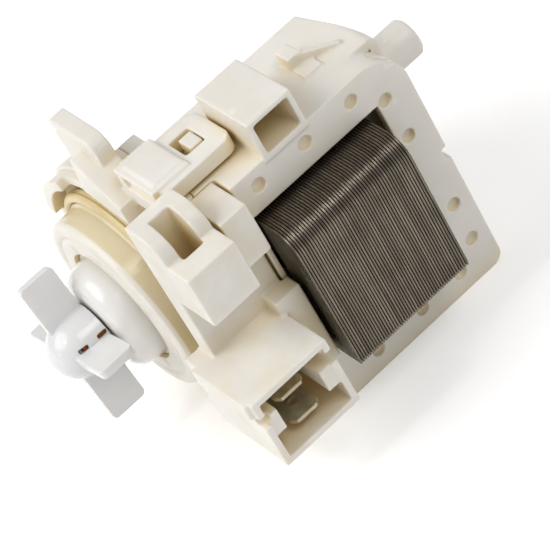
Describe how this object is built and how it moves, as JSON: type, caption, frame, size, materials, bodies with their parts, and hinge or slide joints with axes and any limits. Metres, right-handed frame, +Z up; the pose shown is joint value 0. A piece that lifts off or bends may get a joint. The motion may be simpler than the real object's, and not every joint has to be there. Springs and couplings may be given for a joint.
{
  "type": "washer drain pump",
  "caption": "Washing machine drain pump with a laminated synchronous motor, a bladed impeller, a bayonet spigot and a plug housing.",
  "frame": {"origin": "on the pump axis, in the middle of the spigot's rim", "axes": "-Y out of the spigot towards the impeller, +X towards the plug and the open side of the core, +Z up towards the latch and the wire socket"},
  "size_m": [0.0696, 0.0882, 0.062],
  "materials": {
    "ivory_plastic": "satin",
    "white_plastic": "gloss",
    "impeller_plastic": "gloss",
    "seal_rubber": "satin",
    "mount_rubber": "matte",
    "copper_insert": "satin",
    "shaft_steel": "satin",
    "claw_plastic": "matte",
    "carrier_plastic": "matte",
    "ferrite": "matte",
    "bearing_bronze": "satin",
    "washer_steel": "satin",
    "core_steel": "oiled, with cut edges",
    "bobbin_plastic": "matte",
    "winding_copper": "enamelled",
    "tinned_brass": "dull"
  },
  "bodies": {
    "pump": {"pump_head": "ivory_plastic", "seal_ring": "seal_rubber", "bearing_boss": "white_plastic", "front_bearing": "bearing_bronze", "rear_bearing": "bearing_bronze", "front_bearing_mount": "mount_rubber", "rear_bearing_mount": "mount_rubber", "front_thrust_washer": "washer_steel", "rear_thrust_washer": "washer_steel", "core_stack": "core_steel", "upper_bobbin": "bobbin_plastic", "lower_bobbin": "bobbin_plastic", "upper_winding": "winding_copper", "lower_winding": "winding_copper", "motor_housing": "ivory_plastic", "plug_carrier": "ivory_plastic", "upper_terminal": "tinned_brass", "lower_terminal": "tinned_brass"},
    "impeller_shaft": {"impeller": "impeller_plastic", "impeller_insert": "copper_insert", "shaft": "shaft_steel", "drive_claw": "claw_plastic"},
    "rotor": {"rotor_carrier": "carrier_plastic", "rotor_magnet": "ferrite"}
  },
  "joints": [
    {"name": "impeller_spin", "type": "hinge", "parent": "pump", "child": "impeller_shaft", "pos_m": [0, 0, 0], "axis": [0, 1, 0], "continuous": true},
    {"name": "rotor_play", "type": "hinge", "parent": "impeller_shaft", "child": "rotor", "pos_m": [0, 0.02, 0], "axis": [0, 1, 0], "range_deg": [-138, 138]}
  ]
}
